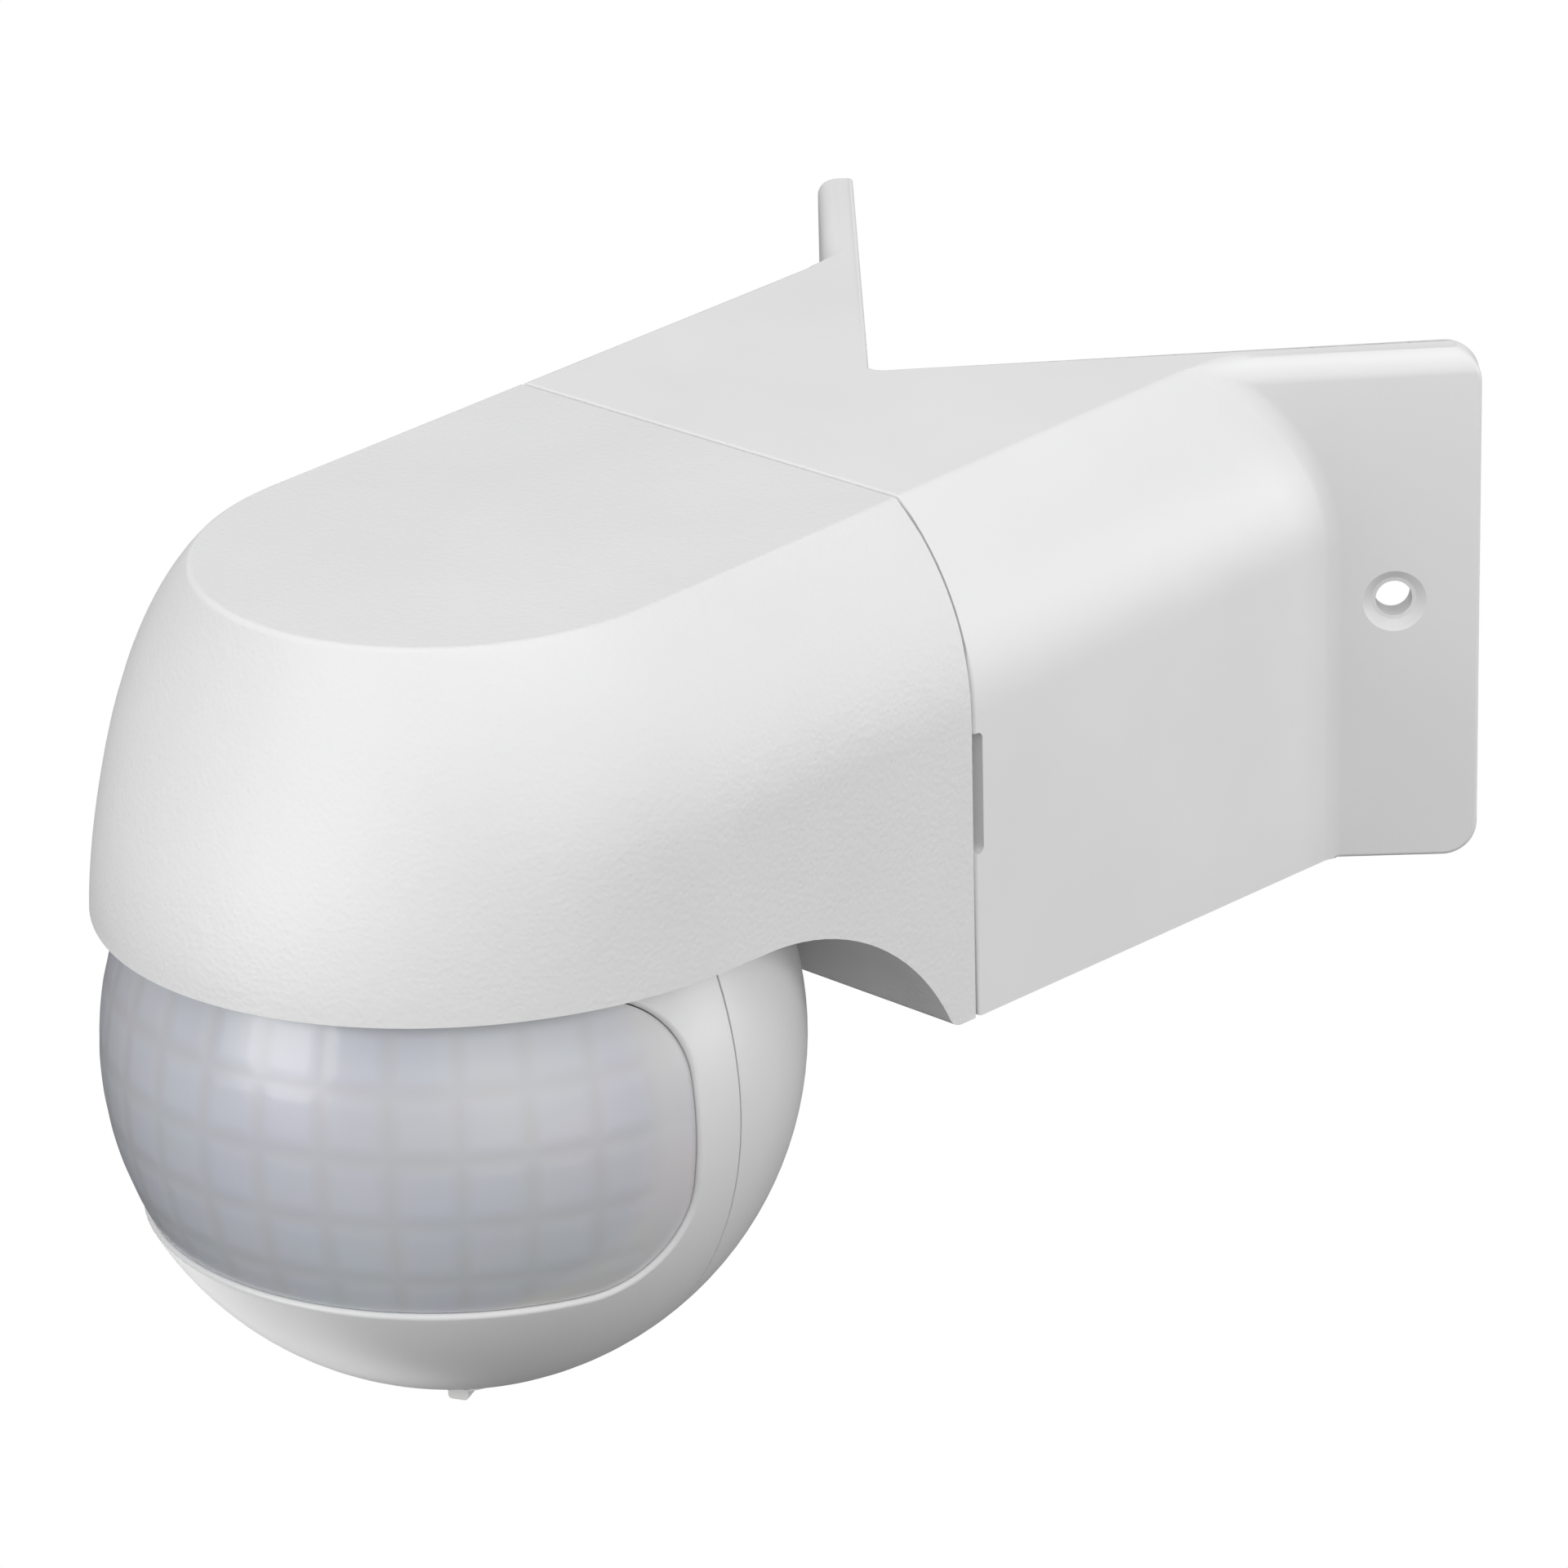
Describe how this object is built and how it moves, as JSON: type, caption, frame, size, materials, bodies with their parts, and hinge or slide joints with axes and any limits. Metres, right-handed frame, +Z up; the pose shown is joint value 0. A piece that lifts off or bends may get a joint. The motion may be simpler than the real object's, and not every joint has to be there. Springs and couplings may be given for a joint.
{
  "type": "motion sensor",
  "caption": "Outdoor motion sensor: hooded ball head with a faceted lens, panning and tilting on an outside-corner wall bracket.",
  "frame": {"origin": "the inner corner edge of the bracket, where the wall's outside corner sits, at the height of the two wall screws", "axes": "+Z up, -Y out from the wall corner through the head, +X to the right seen from in front along +Y"},
  "size_m": [0.1036, 0.1564, 0.1],
  "materials": {
    "bracket_plastic": "satin light grey-white moulded plastic",
    "hood_plastic": "fine-grained light grey-white moulded plastic",
    "head_plastic": "satin light grey-white moulded plastic",
    "lens_plastic": "milky translucent polyethylene",
    "dial_plastic": "white plastic",
    "inner_plastic": "grey plastic",
    "terminal_plastic": "off-white plastic",
    "black_plastic": "black plastic",
    "relay_plastic": "blue plastic",
    "film_box": "yellow box",
    "can_sleeve": "dark sleeve",
    "board": "green laminate",
    "sensor_resin": "amber resin",
    "can_metal": "plated can",
    "screw_steel": "zinc-plated",
    "clamp_steel": "nickel-plated",
    "rubber": "soft rubber"
  },
  "bodies": {
    "mount": {"corner_bracket": "bracket_plastic", "cable_grommet": "rubber", "base_plate": "inner_plastic", "base_screws": "screw_steel", "hood_seal": "rubber", "terminal_block": "terminal_plastic", "terminal_clamps": "clamp_steel", "terminal_screws": "screw_steel", "hood": "hood_plastic", "swivel_washer": "clamp_steel"},
    "swivel": {"swivel_yoke": "inner_plastic", "swivel_nut": "inner_plastic", "pivot_pins": "screw_steel", "pivot_washers": "clamp_steel"},
    "sensor_head": {"front_shell": "head_plastic", "rear_shell": "head_plastic", "lens": "lens_plastic", "shell_seal": "rubber", "shell_screws": "screw_steel", "main_board": "board", "board_screws": "screw_steel", "sensor_holder": "black_plastic", "pyro_sensor": "can_metal", "light_sensor": "sensor_resin", "relay": "relay_plastic", "film_capacitor": "film_box", "capacitors": "can_sleeve", "controller_chip": "black_plastic", "control_board": "board", "control_screws": "screw_steel", "pin_header": "black_plastic", "dial_controls": "relay_plastic"},
    "time_knob": {"time_dial": "dial_plastic"},
    "light_knob": {"light_dial": "dial_plastic"},
    "range_knob": {"range_dial": "dial_plastic"}
  },
  "joints": [
    {"name": "pan", "type": "hinge", "parent": "mount", "child": "swivel", "pos_m": [0, -0.0685, -0.0308], "axis": [0, 0, 1], "range_deg": [-45, 45]},
    {"name": "tilt", "type": "hinge", "parent": "swivel", "child": "sensor_head", "pos_m": [0, -0.0685, -0.0308], "axis": [1, 0, 0], "range_deg": [-15, 30]},
    {"name": "time_turn", "type": "hinge", "parent": "sensor_head", "child": "time_knob", "pos_m": [-0.0082, -0.0757, -0.0668], "axis": [0, 0, -1], "range_deg": [-135, 135]},
    {"name": "light_turn", "type": "hinge", "parent": "sensor_head", "child": "light_knob", "pos_m": [0, -0.0757, -0.0668], "axis": [0, 0, -1], "range_deg": [-135, 135]},
    {"name": "range_turn", "type": "hinge", "parent": "sensor_head", "child": "range_knob", "pos_m": [0.0082, -0.0757, -0.0668], "axis": [0, 0, -1], "range_deg": [-135, 135]}
  ]
}
